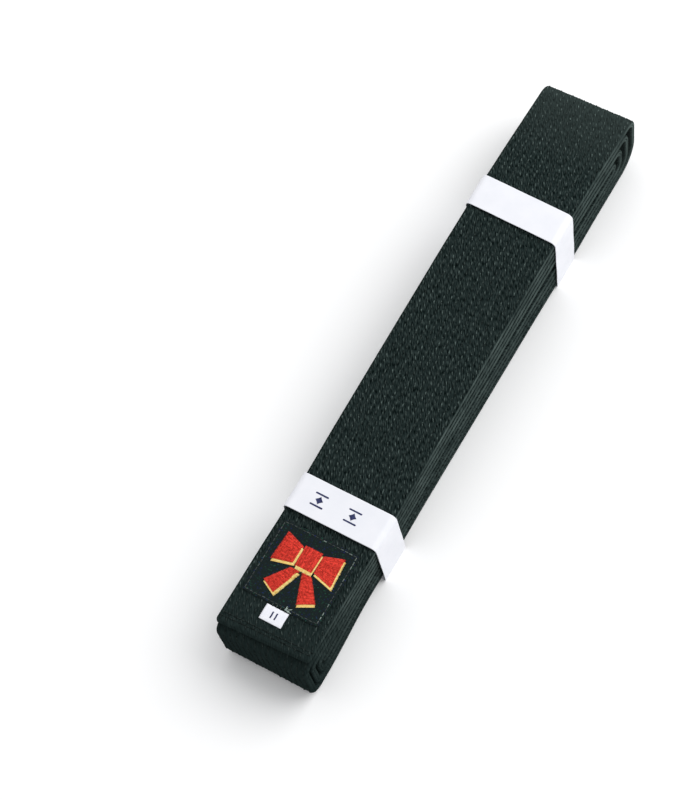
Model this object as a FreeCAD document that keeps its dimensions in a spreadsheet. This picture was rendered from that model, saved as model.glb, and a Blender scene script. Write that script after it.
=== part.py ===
"""Folded martial arts belt held by two paper bands.

Millimetres, +Z up.  +Y runs along the folded pack, away from the end that
carries the label; +X is the pack's right side; Z = 0 is the surface that the
paper bands rest on.  The origin is the centre of the pack's footprint.

The belt is one long strap, wound flat into eight layers round its plain end;
the end that carries the label lies on top.  Layer 1 is the top layer and layer
8 the bottom one.  Every piece of the strap is a strip that follows the same
wound route in the YZ plane and is padded along X.
"""
import FreeCAD, Part
import math
import os

Vector = FreeCAD.Vector

# ---------------------------------------------------------------- dimensions

DIMENSIONS = [
    # the strap
    ("belt_width", 45.0),
    ("belt_thickness", 3.5),
    ("cover_wall", 0.5),
    ("cover_seam_gap", 0.4),
    ("thread_rows", 15),
    ("row_pitch", 3.0),
    ("thread_width", 0.5),
    ("thread_height", 0.1),
    ("label_tip_inset", 3.8),
    ("plain_tip_inset", 13.0),
    ("thread_end_inset", 1.0),
    ("tip_seam_inset", 3.0),
    ("tip_seam_pitch", 1.6),
    ("tip_seam_width", 0.8),
    ("tip_seam_margin", 1.0),
    # the folded pack
    ("pack_length", 302.0),
    ("under_clearance", 0.5),
    ("label_station", -84.0),
    ("middle_station", 81.0),
    ("label_pitch", 4.0),
    ("middle_pitch", 4.55),
    ("pocket_extra", 3.55),
    ("fold_lower_pitch", 4.15),
    ("fold_top_height", 32.2),
    ("fold_upper_pitch", 3.97),
    ("fold_setback", 6.2),
    ("kink_radius", 150.0),
    # the label end, which lifts
    ("flap_hinge_place", -91.1),
    ("flap_joint_gap", 0.3),
    # the label
    ("label_width", 38.0),
    ("label_length", 36.4),
    ("label_thickness", 0.45),
    ("label_centre_x", -0.6),
    ("label_centre_y", -113.1),
    ("border_inset", 0.9),
    ("border_width", 0.6),
    ("border_height", 0.15),
    ("emblem_height", 0.4),
    ("emblem_edge_height", 0.3),
    ("emblem_edge_right", 0.6),
    ("emblem_edge_down", 1.1),
    ("emblem_lift", 1.2),
    # the size tag
    ("tag_width", 10.8),
    ("tag_length", 7.1),
    ("tag_thickness", 0.2),
    ("tag_centre_x", -0.8),
    ("tag_hinge_place", -131.8),
    ("tag_bar_width", 0.7),
    ("tag_bar_length", 3.2),
    ("tag_bar_spacing", 2.0),
    ("tack_count", 4),
    ("tack_pitch", 2.35),
    ("tack_width", 0.9),
    ("tack_depth", 0.15),
    # the paper bands
    ("paper_thickness", 0.25),
    ("paper_side_gap", 0.35),
    ("paper_corner", 0.9),
    ("glue_thickness", 0.1),
    ("lap_bottom", 8.0),
    ("lap_top", 20.0),
    ("glue_margin", 1.0),
    ("upper_band_centre", 80.9),
    ("upper_band_width", 16.4),
    ("upper_band_clearance", 0.4),
    ("lower_band_centre", -81.3),
    ("lower_band_width", 17.5),
    ("lower_band_height", 33.65),
    ("print_thickness", 0.05),
    ("lozenge_size", 3.8),
    ("bar_length", 6.4),
    ("bar_width", 0.8),
    ("bar_spacing", 5.6),
    ("print_spacing", 16.6),
    ("print_centre_x", -1.8),
]

doc = FreeCAD.newDocument("FoldedBelt")
sheet = doc.addObject("Spreadsheet::Sheet", "dims")
for row, (alias, value) in enumerate(DIMENSIONS, start=1):
    sheet.set("A%d" % row, alias)
    sheet.set("B%d" % row, str(value))
    sheet.setAlias("B%d" % row, alias)
doc.recompute()


def size(alias):
    """The value of one cell of the sheet."""
    return float(sheet.get(alias))


# ------------------------------------------------------------ flat geometry


def offset_corners(corners, offset):
    """Corners (u, v, radius) of a rounded route, moved to its left by offset."""
    directions = []
    for (u0, v0, _), (u1, v1, _) in zip(corners, corners[1:]):
        run = math.hypot(u1 - u0, v1 - v0)
        directions.append(((u1 - u0) / run, (v1 - v0) / run))
    moved = []
    for index, (u, v, radius) in enumerate(corners):
        before = directions[max(index - 1, 0)]
        after = directions[min(index, len(directions) - 1)]
        normal_before = (-before[1], before[0])
        normal_after = (-after[1], after[0])
        share = 1 + normal_before[0] * normal_after[0] + normal_before[1] * normal_after[1]
        du = offset * (normal_before[0] + normal_after[0]) / share
        dv = offset * (normal_before[1] + normal_after[1]) / share
        turn = before[0] * after[1] - before[1] * after[0]
        moved_radius = radius - math.copysign(offset, offset * turn) if turn else radius
        moved.append((u + du, v + dv, moved_radius))
    return moved


def rounded_route(corners):
    """Straight runs and tangent arcs through corners (u, v, radius)."""
    pieces = []
    here = Vector(corners[0][0], corners[0][1], 0)
    for before, corner, after in zip(corners, corners[1:], corners[2:]):
        point = Vector(corner[0], corner[1], 0)
        back = (Vector(before[0], before[1], 0) - point).normalize()
        ahead = (Vector(after[0], after[1], 0) - point).normalize()
        turn = math.pi - back.getAngle(ahead)
        if turn < 1e-6:
            continue
        reach = corner[2] * math.tan(turn / 2)
        start = point + back * reach
        end = point + ahead * reach
        bisector = (back + ahead).normalize()
        middle = point + bisector * (corner[2] / math.cos(turn / 2) - corner[2])
        if (start - here).Length > 1e-6:
            pieces.append(Part.LineSegment(here, start))
        pieces.append(Part.Arc(start, middle, end))
        here = end
    last = Vector(corners[-1][0], corners[-1][1], 0)
    pieces.append(Part.LineSegment(here, last))
    return pieces


def strip_outline(corners, low, high):
    """Closed outline of a strip between two offsets of one rounded route."""
    low_corners = offset_corners(corners, low)
    high_corners = offset_corners(corners, high)
    outline = rounded_route(low_corners) + rounded_route(high_corners)
    for end in (0, -1):
        a = Vector(low_corners[end][0], low_corners[end][1], 0)
        b = Vector(high_corners[end][0], high_corners[end][1], 0)
        outline.append(Part.LineSegment(a, b))
    return outline


def polygon(points):
    """Closed straight-sided outline."""
    corners = [Vector(u, v, 0) for u, v in points]
    return [Part.LineSegment(a, b) for a, b in zip(corners, corners[1:] + corners[:1])]


def rectangle(centre_u, centre_v, width, height):
    """Closed rectangle about a centre."""
    half_u, half_v = width / 2, height / 2
    return polygon([
        (centre_u - half_u, centre_v - half_v),
        (centre_u + half_u, centre_v - half_v),
        (centre_u + half_u, centre_v + half_v),
        (centre_u - half_u, centre_v + half_v),
    ])


# --------------------------------------------------------- document objects

sub_parts = []


def new_body(label):
    """A body that becomes one node."""
    body = doc.addObject("PartDesign::Body", label)
    body.Label = label
    body.AllowCompound = True
    sub_parts.append(body)
    return body


def add_sketch(body, plane_role, outline, lift="0"):
    """A sketch on one of the body's own planes, lifted along the plane's normal."""
    sketch = body.newObject("Sketcher::SketchObject", body.Name + "_sketch")
    plane = next(item for item in body.Origin.OriginFeatures if item.Role == plane_role)
    sketch.AttachmentSupport = (plane, [""])
    sketch.MapMode = "FlatFace"
    sketch.setExpression(".AttachmentOffset.Base.z", lift)
    sketch.addGeometry(outline, False)
    return sketch


def add_pad(body, plane_role, outline, length, lift="0", symmetric=False):
    """A pad whose length is an expression."""
    sketch = add_sketch(body, plane_role, outline, lift)
    pad = body.newObject("PartDesign::Pad", body.Name + "_pad")
    pad.Profile = sketch
    pad.SideType = "Symmetric" if symmetric else "One side"
    pad.setExpression("Length", length)
    doc.recompute()
    return pad


def add_pocket(body, plane_role, outline, length, lift="0"):
    """A pocket cut evenly to both sides of the sketch."""
    before = body.Shape.Volume
    sketch = add_sketch(body, plane_role, outline, lift)
    pocket = body.newObject("PartDesign::Pocket", body.Name + "_pocket")
    pocket.Profile = sketch
    pocket.SideType = "Symmetric"
    pocket.setExpression("Length", length)
    doc.recompute()
    if body.Shape.Volume > before - 1e-3:
        raise RuntimeError("%s: the pocket cuts nothing" % body.Label)
    return pocket


def repeat_along_x(body, pad, count, length):
    """The same pad again and again along X."""
    pattern = body.newObject("PartDesign::LinearPattern", body.Name + "_rows")
    axis = next(item for item in body.Origin.OriginFeatures if item.Role == "X_Axis")
    pattern.Originals = [pad]
    pattern.Direction = (axis, [""])
    pattern.setExpression("Length", length)
    pattern.setExpression("Occurrences", count)
    body.Tip = pattern
    doc.recompute()
    return pattern


# ------------------------------------------------------ route of the strap

half_belt = size("belt_thickness") / 2
half_core = half_belt - size("cover_wall")
bottom_layer = size("under_clearance") + half_belt
pack_end = size("pack_length") / 2


def height_at_label(layer):
    """Middle of a layer over the level stretch at the label end."""
    return bottom_layer + (8 - layer) * size("label_pitch")


def height_at_middle(layer):
    """Middle of a layer where the pack is thickest."""
    pocket = size("pocket_extra") if layer <= 4 else 0
    return bottom_layer + (8 - layer) * size("middle_pitch") + pocket


def height_at_fold(layer):
    """Middle of a layer just before the folded end."""
    if layer > 4:
        return bottom_layer + (8 - layer) * size("fold_lower_pitch")
    return size("fold_top_height") - (layer - 1) * size("fold_upper_pitch")


# folds away from the label: upper layer, lower layer, radius above, radius below
FAR_FOLDS = {1: (8, 6.3, 11.5), 2: (7, 5.5, 6.5), 3: (6, 4.8, 4.8), 4: (5, 2.6, 2.6)}
# folds at the label end: lower layer, upper layer, set back from the end, radius
LABEL_FOLDS = {8: (2, 0.0, 4.6), 7: (3, 4.2, 3.0), 6: (4, 8.4, 2.6)}


def kinks(layer, towards_fold):
    """The two gentle bends of a layer between its ends."""
    bends = [
        (size("label_station"), height_at_label(layer), size("kink_radius")),
        (size("middle_station"), height_at_middle(layer), size("kink_radius")),
    ]
    return bends if towards_fold else bends[::-1]


def far_fold(upper):
    """Two corners of the fold, away from the label, that takes an upper layer down."""
    lower, radius_above, radius_below = FAR_FOLDS[upper]
    place = pack_end - half_belt - (upper - 1) * size("fold_setback")
    return [(place, height_at_fold(upper), radius_above), (place, height_at_fold(lower), radius_below)]


def label_fold(lower):
    """Two corners of the fold, at the label end, that takes a lower layer up."""
    upper, setback, radius = LABEL_FOLDS[lower]
    place = -pack_end + half_belt + setback
    return [(place, height_at_label(lower), radius), (place, height_at_label(upper), radius)]


def drop_straight(corners):
    """The same route without the points that lie on a straight run."""
    kept = [corners[0]]
    for index in range(1, len(corners) - 1):
        u0, v0, _ = kept[-1]
        u1, v1, _ = corners[index]
        u2, v2, _ = corners[index + 1]
        if abs((u1 - u0) * (v2 - v1) - (v1 - v0) * (u2 - u1)) > 1e-6:
            kept.append(corners[index])
    return kept + [corners[-1]]


label_tip = -pack_end + size("label_tip_inset")
plain_tip = -pack_end + size("plain_tip_inset")
strap_start = size("flap_hinge_place") + size("flap_joint_gap") / 2
flap_start = size("flap_hinge_place") - size("flap_joint_gap") / 2


def wound_route():
    """Corners of the strap from the cut under the label to the plain tip inside the pack."""
    corners = [(strap_start, height_at_label(1), 0)]
    for upper, (lower, _, _) in FAR_FOLDS.items():
        corners += kinks(upper, True) + far_fold(upper) + kinks(lower, False)
        if lower in LABEL_FOLDS:
            corners += label_fold(lower)
    return drop_straight(corners + [(plain_tip, height_at_label(lower), 0)])


strap_route = wound_route()
flap_route = [(label_tip, height_at_label(1), 0), (flap_start, height_at_label(1), 0)]


def shortened(route, start=0.0, end=0.0):
    """The route with its first and last points drawn in along their runs."""
    (u0, v0, _), (u1, v1, _) = route[0], route[1]
    (p0, q0, _), (p1, q1, _) = route[-1], route[-2]
    first_run = math.hypot(u1 - u0, v1 - v0)
    last_run = math.hypot(p1 - p0, q1 - q0)
    first = (u0 + (u1 - u0) * start / first_run, v0 + (v1 - v0) * start / first_run, 0)
    last = (p0 + (p1 - p0) * end / last_run, q0 + (q1 - q0) * end / last_run, 0)
    return [first] + route[1:-1] + [last]


# --------------------------------------------------- the strap and its core


def make_cover(label, route, closed_start, closed_end):
    """Woven cover: a flat tube with a seam along the middle of its back."""
    wall = size("cover_wall")
    past_open_end = -1.0
    start = wall if closed_start else past_open_end
    end = wall if closed_end else past_open_end
    core_route = shortened(route, start, end)
    cover = new_body(label)
    belt_outline = strip_outline(route, -half_belt, half_belt)
    add_pad(cover, "YZ_Plane", belt_outline, "dims.belt_width", symmetric=True)
    core_outline = strip_outline(core_route, -half_core, half_core)
    add_pocket(cover, "YZ_Plane", core_outline, "dims.belt_width - 2 * dims.cover_wall")
    seam_overlap = 1e-3
    seam_outline = strip_outline(core_route, -half_belt - seam_overlap, -half_core + seam_overlap)
    add_pocket(cover, "YZ_Plane", seam_outline, "dims.cover_seam_gap")


def make_core(prefix, route, closed_start, closed_end):
    """Three plies of canvas, one on the other, that fill the cover."""
    wall = size("cover_wall")
    ply_route = shortened(route, wall if closed_start else 0.0, wall if closed_end else 0.0)
    ply_thickness = 2 * half_core / 3
    for index, name in enumerate(("inner", "middle", "outer")):
        low = -half_core + index * ply_thickness
        ply = new_body(prefix + "core_ply_" + name)
        outline = strip_outline(ply_route, low, low + ply_thickness)
        add_pad(ply, "YZ_Plane", outline, "dims.belt_width - 2 * dims.cover_wall", symmetric=True)


def make_thread_rows(label, route, low, closed_start, closed_end):
    """Parallel rows of thread on one face of the strap, stopping short of its tips."""
    inset = size("thread_end_inset")
    row_route = shortened(route, inset if closed_start else 0.0, inset if closed_end else 0.0)
    rows = new_body(label)
    outline = strip_outline(row_route, low, low + size("thread_height"))
    first_row = "-dims.row_pitch * (dims.thread_rows - 1) / 2"
    pad = add_pad(rows, "YZ_Plane", outline, "dims.thread_width", lift=first_row, symmetric=True)
    repeat_along_x(rows, pad, "dims.thread_rows", "dims.row_pitch * (dims.thread_rows - 1)")


def make_tip_seam(label, tip, layer):
    """Two rows of closing stitches across a tip, on top of the thread rows."""
    middle = height_at_label(layer) + half_belt + 1.5 * size("thread_height")
    seam = new_body(label)
    outline = []
    for row in range(2):
        place = tip + size("tip_seam_inset") + row * size("tip_seam_pitch")
        outline += rectangle(place, middle, size("tip_seam_width"), size("thread_height"))
    length = "dims.belt_width - 2 * dims.tip_seam_margin"
    add_pad(seam, "YZ_Plane", outline, length, symmetric=True)


needle_low = half_belt
bobbin_low = -half_belt - size("thread_height")

make_cover("belt_cover", strap_route, False, True)
make_core("", strap_route, False, True)
make_thread_rows("needle_thread_rows", strap_route, needle_low, False, True)
make_thread_rows("bobbin_thread_rows", strap_route, bobbin_low, False, True)
make_tip_seam("plain_end_tip_seam", plain_tip, 5)

make_cover("label_end_cover", flap_route, True, False)
make_core("label_end_", flap_route, True, False)
make_thread_rows("label_end_needle_thread_rows", flap_route, needle_low, True, False)
make_thread_rows("label_end_bobbin_thread_rows", flap_route, bobbin_low, True, False)
make_tip_seam("label_end_tip_seam", label_tip, 1)

# ----------------------------------------------------- label and its emblem

flap_top = height_at_label(1) + half_belt + size("thread_height")
label_left = size("label_centre_x") - size("label_width") / 2
label_low = size("label_centre_y") - size("label_length") / 2
FLAP_TOP = repr(flap_top)
LABEL_TOP = FLAP_TOP + " + dims.label_thickness"


def label_outline(inset):
    """The label's rectangle, drawn in all round."""
    return rectangle(
        size("label_centre_x"), size("label_centre_y"),
        size("label_width") - 2 * inset, size("label_length") - 2 * inset,
    )


label_ground = new_body("label_ground")
add_pad(label_ground, "XY_Plane", label_outline(0), "dims.label_thickness", lift=FLAP_TOP)

border = new_body("label_border_stitch")
inset = size("border_inset")
frame_outline = label_outline(inset) + label_outline(inset + size("border_width"))
add_pad(border, "XY_Plane", frame_outline, "dims.border_height", lift=LABEL_TOP)

# the emblem is a plain tied knot: two wings, the knot and two tails
WING = [(5.0, 1.0), (15.0, -1.6), (14.2, 12.6), (5.0, 9.4)]
TAIL = [(0.6, -1.2), (5.2, -1.2), (12.8, -11.0), (5.6, -14.8)]
KNOT = [(-4.0, 0.2), (4.0, 0.2), (4.3, 10.4), (-4.3, 10.4)]


def mirrored(points):
    """The same points on the other side of the emblem's centre line."""
    return [(-u, v) for u, v in reversed(points)]


def emblem_outlines(right, down):
    """All fields of the emblem, moved right and down."""
    centre_x = size("label_centre_x") + right
    centre_y = size("label_centre_y") + size("emblem_lift") - down
    fields = (WING, mirrored(WING), KNOT, TAIL, mirrored(TAIL))
    return [polygon([(centre_x + u, centre_y + v) for u, v in field]) for field in fields]


emblem_fields = new_body("emblem_red_embroidery")
for outline in emblem_outlines(0, 0):
    add_pad(emblem_fields, "XY_Plane", outline, "dims.emblem_height", lift=LABEL_TOP)

emblem_edges = new_body("emblem_yellow_embroidery")
for outline in emblem_outlines(size("emblem_edge_right"), size("emblem_edge_down")):
    add_pad(emblem_edges, "XY_Plane", outline, "dims.emblem_edge_height", lift=LABEL_TOP)
for outline in emblem_outlines(0, 0):
    add_pocket(emblem_edges, "XY_Plane", outline, "4 * dims.emblem_height", lift=LABEL_TOP)

# ------------------------------------------------------------- the size tag

tag_centre = size("tag_hinge_place") - size("tag_length") / 2
tag = new_body("size_tag")
tag_outline = rectangle(size("tag_centre_x"), tag_centre, size("tag_width"), size("tag_length"))
add_pad(tag, "XY_Plane", tag_outline, "dims.tag_thickness", lift=FLAP_TOP)

tag_mark = new_body("size_tag_mark")
for side in (-0.5, 0.5):
    place = size("tag_centre_x") + side * size("tag_bar_spacing")
    bar = rectangle(place, tag_centre, size("tag_bar_width"), size("tag_bar_length"))
    add_pad(tag_mark, "XY_Plane", bar, "dims.print_thickness", lift=FLAP_TOP + " + dims.tag_thickness")

# tacks that hold the tag's top edge against the label's lower edge
tag_stitch = new_body("size_tag_stitch")
tack_count = int(size("tack_count"))
for index in range(tack_count):
    place = size("tag_centre_x") + (index - (tack_count - 1) / 2) * size("tack_pitch")
    tack = rectangle(place, label_low - size("tack_depth") / 2, size("tack_width"), size("tack_depth"))
    add_pad(tag_stitch, "XY_Plane", tack, "dims.label_thickness", lift=FLAP_TOP)

# ---------------------------------------------------------- the paper bands


def make_paper_band(prefix, centre, width, height):
    """A paper strip round the pack; its ends are glued over each other on the left side."""
    paper, gap = size("paper_thickness"), size("paper_side_gap")
    side = size("belt_width") / 2 + gap + paper / 2
    outer_side = side + paper + size("glue_thickness")
    radius = size("paper_corner") + paper / 2
    route = [
        (-side, size("lap_top"), 0),
        (-side, paper / 2, radius),
        (side, paper / 2, radius),
        (side, height - paper / 2, radius),
        (-outer_side, height - paper / 2, radius),
        (-outer_side, size("lap_bottom"), 0),
    ]
    place = repr(-centre)
    band = new_body(prefix + "_paper_band")
    outline = strip_outline(route, -paper / 2, paper / 2)
    add_pad(band, "XZ_Plane", outline, "dims." + width, lift=place, symmetric=True)
    lap_middle = (size("lap_bottom") + size("lap_top")) / 2
    lap = size("lap_top") - size("lap_bottom") - 2 * size("glue_margin")
    glue_outline = rectangle(-(side + outer_side) / 2, lap_middle, size("glue_thickness"), lap)
    glue = new_body(prefix + "_band_glue")
    length = "dims." + width + " - 2 * dims.glue_margin"
    add_pad(glue, "XZ_Plane", glue_outline, length, lift=place, symmetric=True)


upper_height = height_at_middle(1) + half_belt + size("thread_height")
upper_height += size("upper_band_clearance") + size("paper_thickness")
make_paper_band("upper", size("upper_band_centre"), "upper_band_width", upper_height)
make_paper_band("lower", size("lower_band_centre"), "lower_band_width", size("lower_band_height"))

# each printed mark is a lozenge between two short bars
print_marks = new_body("lower_band_print")
for side in (-0.5, 0.5):
    u = size("print_centre_x") + side * size("print_spacing")
    v = size("lower_band_centre")
    reach = size("lozenge_size") / 2
    outlines = [polygon([(u - reach, v), (u, v - reach), (u + reach, v), (u, v + reach)])]
    for end in (-0.5, 0.5):
        outlines.append(rectangle(u, v + end * size("bar_spacing"), size("bar_length"), size("bar_width")))
    for outline in outlines:
        add_pad(print_marks, "XY_Plane", outline, "dims.print_thickness", lift="dims.lower_band_height")

# ------------------------------------------------------------ check and save

doc.recompute()
for item in doc.Objects:
    if "Invalid" in item.State or "Error" in item.State:
        raise RuntimeError("%s failed: %s" % (item.Label, item.State))
for body in sub_parts:
    if body.Shape.isNull() or not body.Shape.isValid():
        raise RuntimeError("%s has no valid shape" % body.Label)

strap_length = sum(piece.length() for piece in rounded_route(strap_route) + rounded_route(flap_route))
print("unfolded belt length: %.0f mm" % strap_length)

os.makedirs("parts", exist_ok=True)
for body in sub_parts:
    body.Shape.exportStep(os.path.join("parts", body.Label + ".step"))
    print("%-32s %3d solids %10.1f mm3" % (body.Label, len(body.Shape.Solids), body.Shape.Volume))
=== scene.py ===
"""Looks of a folded martial arts belt that two paper bands hold.

Lengths are in millimetres up to the mesh, which is in metres.  +Y runs along
the pack, away from its label; the strap's own coordinates are the length s
along it, x across it and a height over its middle, to its needle side.
"""
import math

import bpy
import numpy as np
from mathutils import Euler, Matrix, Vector


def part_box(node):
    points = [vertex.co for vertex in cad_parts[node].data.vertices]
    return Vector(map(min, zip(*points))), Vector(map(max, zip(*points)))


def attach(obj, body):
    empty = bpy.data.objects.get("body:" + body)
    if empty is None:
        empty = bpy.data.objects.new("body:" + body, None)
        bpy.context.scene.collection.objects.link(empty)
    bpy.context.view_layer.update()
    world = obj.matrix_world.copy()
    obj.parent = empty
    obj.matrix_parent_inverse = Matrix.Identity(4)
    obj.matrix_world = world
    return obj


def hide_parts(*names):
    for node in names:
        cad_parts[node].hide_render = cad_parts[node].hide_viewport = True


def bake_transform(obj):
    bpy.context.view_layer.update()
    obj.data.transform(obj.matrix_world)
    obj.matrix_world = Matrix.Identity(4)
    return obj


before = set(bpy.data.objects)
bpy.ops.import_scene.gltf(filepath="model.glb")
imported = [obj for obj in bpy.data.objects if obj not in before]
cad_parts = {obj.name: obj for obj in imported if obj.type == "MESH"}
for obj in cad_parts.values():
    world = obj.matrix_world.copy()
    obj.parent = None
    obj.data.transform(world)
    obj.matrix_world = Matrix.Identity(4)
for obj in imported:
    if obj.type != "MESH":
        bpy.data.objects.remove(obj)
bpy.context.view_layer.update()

rng = np.random.default_rng(15)


# ---- sizes from the frame


def node_box(node):
    """Lowest and highest corner of a CAD node, in millimetres."""
    low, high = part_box(node)
    return np.array(low) * 1000, np.array(high) * 1000


cover_low, cover_high = node_box("belt_cover")
flap_low, flap_high = node_box("label_end_cover")
label_low, label_high = node_box("label_ground")
tag_low, tag_high = node_box("size_tag")

LAYERS = 8
BELT_WIDTH = cover_high[0] - cover_low[0]
HALF_BELT = (flap_high[2] - flap_low[2]) / 2
PACK_END = cover_high[1]
BOTTOM_LAYER = cover_low[2] + HALF_BELT
LABEL_PITCH = ((flap_high[2] + flap_low[2]) / 2 - BOTTOM_LAYER) / (LAYERS - 1)

# the folds, as the CAD model lays them
LABEL_STATION = -84.0
MIDDLE_STATION = 81.0
MIDDLE_PITCH = 4.55
# the pack is fuller away from its label, just under this layer
POCKET_LAYER = 4
POCKET_EXTRA = 3.55
FOLD_LOWER_PITCH = 4.15
FOLD_TOP_HEIGHT = 32.2
FOLD_UPPER_PITCH = 3.97
FOLD_SETBACK = 6.2
KINK_RADIUS = 150.0
# upper layer: (lower layer, radius above, radius below)
FAR_FOLDS = {1: (8, 6.3, 11.5), 2: (7, 5.5, 6.5), 3: (6, 4.8, 4.8), 4: (5, 2.6, 2.6)}
# lower layer: (upper layer, how far in from the pack's end, radius)
LABEL_FOLDS = {8: (2, 0.0, 4.6), 7: (3, 4.2, 3.0), 6: (4, 8.4, 2.6)}
OUTER_FOLD_RADIUS = LABEL_FOLDS[LAYERS][2] + HALF_BELT
OUTER_FOLD_CENTRE = -PACK_END + OUTER_FOLD_RADIUS
LABEL_TIP = flap_low[1]
PLAIN_TIP = -PACK_END + 13.0

# how much fuller the soft layers are than the CAD solids, on each face
FULLER_AT_LABEL = 0.1
FULLER_AT_MIDDLE = 0.28
FULLER_AT_FOLD = 0.08

# the quilting of the strap
ROWS = 15
LAST_ROW = (ROWS - 1) / 2
ROW_PITCH = 3.0
STITCH_PITCH = 2.7
ROW_PHASE = rng.random(ROWS)
EDGE_REACH = 1.7
EDGE_SQUARENESS = 2.6
EDGE_GROOVE = 0.45
GROOVE_WIDTH = 0.6
GROOVE_DEPTH = 0.07
HOLE_DEPTH = 0.2
STRAY_ALONG = 0.14
STRAY_ACROSS = 0.1

# the unevenness of the padded faces, away from their edges
WAVE_DEPTH = 0.05
RIPPLE_DEPTH = 0.03
SOFT_HALF_WIDTH = 20.0

# the rounding of both tips, seen from the side and from above
TIP_ROUNDING = 1.1
TIP_LEAST_SHARE = 0.12
TIP_CORNER = 0.9
TIP_CORNER_REACH = 1.6

# how the strap lies: held in place under the bands, free between them
BAND_PLACE = 81.0
BAND_REACH = 9.0
FREE_REACH = 24.0
FREE_SHIFT = 0.2
# the lower layers lie further right towards the label's end
FRONT_SPLAY = 1.5
SPLAY_START = -96.0
SPLAY_REACH = 45.0
SPLAY_TOP = 30.0
SPLAY_HEIGHT = 22.0
# the label's tip lies a little askew and droops over the fold below it, most at its left
TIP_SKEW = 1.0
TIP_SKEW_REACH = 40.0
TIP_DROOP = 0.45

# stitches are painted in shade towards the front of the pack, which is turned away from the light
STITCH_SHADE_PLACE = -154.0
STITCH_SHADE_REACH = 22.0
STITCH_SHADE_SHARE = 0.15
STITCH_SHADE_TONE = 0.12

# where one mesh of the strap ends and the next begins, both out of sight
FLAP_JOINT_Y = -84.0
RUN_JOINT_Y = -75.0


# ---- the route


def line_lengths(line):
    """The length along a line at each of its points."""
    return np.concatenate([[0], np.cumsum(np.linalg.norm(np.diff(line, axis=0), axis=1))])


class Route:
    """A flat route of straight runs and tangent arcs, read by its length.

    Corners are (u, v, radius, needle slack, bobbin slack): the two slacks are
    how much further out the faces of the strap lie there.
    """

    ARC_STEP = math.radians(3)

    def __init__(self, corners):
        start, after = (np.array(corner[:2]) for corner in corners[:2])
        points, headings = [start], [math.atan2(*(after - start)[::-1])]
        corner_points = [0]
        for before, corner, after in zip(corners, corners[1:], corners[2:]):
            here = np.array(corner[:2])
            towards = here - np.array(before[:2])
            onwards = np.array(after[:2]) - here
            towards /= np.linalg.norm(towards)
            onwards /= np.linalg.norm(onwards)
            turn = math.atan2(towards[0] * onwards[1] - towards[1] * onwards[0], towards @ onwards)
            reach = corner[2] * math.tan(abs(turn) / 2)
            side = math.copysign(1, turn)
            centre = here - towards * reach + side * corner[2] * np.array([-towards[1], towards[0]])
            first = math.atan2(towards[1], towards[0])
            entry = headings[-1] + math.remainder(first - headings[-1], math.tau)
            steps = max(2, math.ceil(abs(turn) / self.ARC_STEP))
            corner_points.append(len(points) + steps // 2)
            for heading in entry + turn * np.arange(steps + 1) / steps:
                spoke = side * corner[2] * np.array([math.sin(heading), -math.cos(heading)])
                points.append(centre + spoke)
                headings.append(heading)
        points.append(np.array(corners[-1][:2]))
        corner_points.append(len(points) - 1)
        self.u, self.v = np.array(points).T
        self.lengths = line_lengths(np.array(points))
        self.length = self.lengths[-1]
        self.headings = np.array(headings + headings[-1:])
        self.corner_lengths = self.lengths[corner_points]
        self.needle_slack = np.array([corner[3] for corner in corners])
        self.bobbin_slack = np.array([corner[4] for corner in corners])

    def at(self, s):
        """Place (u, v) and heading at a length."""
        u = np.interp(s, self.lengths, self.u)
        v = np.interp(s, self.lengths, self.v)
        return u, v, np.interp(s, self.lengths, self.headings)

    def slack(self, s, side):
        """Extra height of the needle face (side 1) or the bobbin face (side -1)."""
        needle = np.interp(s, self.corner_lengths, self.needle_slack)
        bobbin = np.interp(s, self.corner_lengths, self.bobbin_slack)
        return np.where(side > 0, needle, bobbin)

    def stations(self, first, last, step, bend_step):
        """Lengths from first to last: bend_step apart in tight bends, step apart elsewhere."""
        every = round(step / bend_step)
        numbers = np.arange(math.ceil(first / bend_step), math.floor(last / bend_step) + 1)
        places = numbers * bend_step
        turn = np.abs(self.at(places + bend_step)[2] - self.at(places - bend_step)[2])
        tight_turn, end_gap = 0.03, 0.2
        kept = places[(numbers % every == 0) | (turn > tight_turn)]
        kept = kept[(kept > first + end_gap) & (kept < last - end_gap)]
        return np.concatenate([[first], kept, [last]])


def height_at_label(layer):
    return BOTTOM_LAYER + (LAYERS - layer) * LABEL_PITCH


def height_at_middle(layer):
    pocket = POCKET_EXTRA if layer <= POCKET_LAYER else 0
    return BOTTOM_LAYER + (LAYERS - layer) * MIDDLE_PITCH + pocket


def height_at_fold(layer):
    if layer > POCKET_LAYER:
        return BOTTOM_LAYER + (LAYERS - layer) * FOLD_LOWER_PITCH
    return FOLD_TOP_HEIGHT - (layer - 1) * FOLD_UPPER_PITCH


def corner_point(layer, place, height, radius, fuller):
    """A corner of the strap's route.  The pack's own top and bottom keep their CAD height."""
    return (place, height, radius, 0.0 if layer in (1, LAYERS) else fuller, fuller)


def kinks(layer, towards_fold):
    """The two gentle bends of a layer between its ends."""
    bends = [
        corner_point(layer, LABEL_STATION, height_at_label(layer), KINK_RADIUS, FULLER_AT_LABEL),
        corner_point(layer, MIDDLE_STATION, height_at_middle(layer), KINK_RADIUS, FULLER_AT_MIDDLE),
    ]
    return bends if towards_fold else bends[::-1]


def far_fold(upper):
    """The fold, away from the label, that takes an upper layer down."""
    lower, radius_above, radius_below = FAR_FOLDS[upper]
    place = PACK_END - HALF_BELT - (upper - 1) * FOLD_SETBACK
    return [
        corner_point(upper, place, height_at_fold(upper), radius_above, FULLER_AT_FOLD),
        corner_point(lower, place, height_at_fold(lower), radius_below, FULLER_AT_FOLD),
    ]


def label_fold(lower):
    """The fold, at the label end, that takes a lower layer up."""
    upper, setback, radius = LABEL_FOLDS[lower]
    place = -PACK_END + HALF_BELT + setback
    return [
        corner_point(layer, place, height_at_label(layer), radius, FULLER_AT_LABEL)
        for layer in (lower, upper)
    ]


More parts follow.
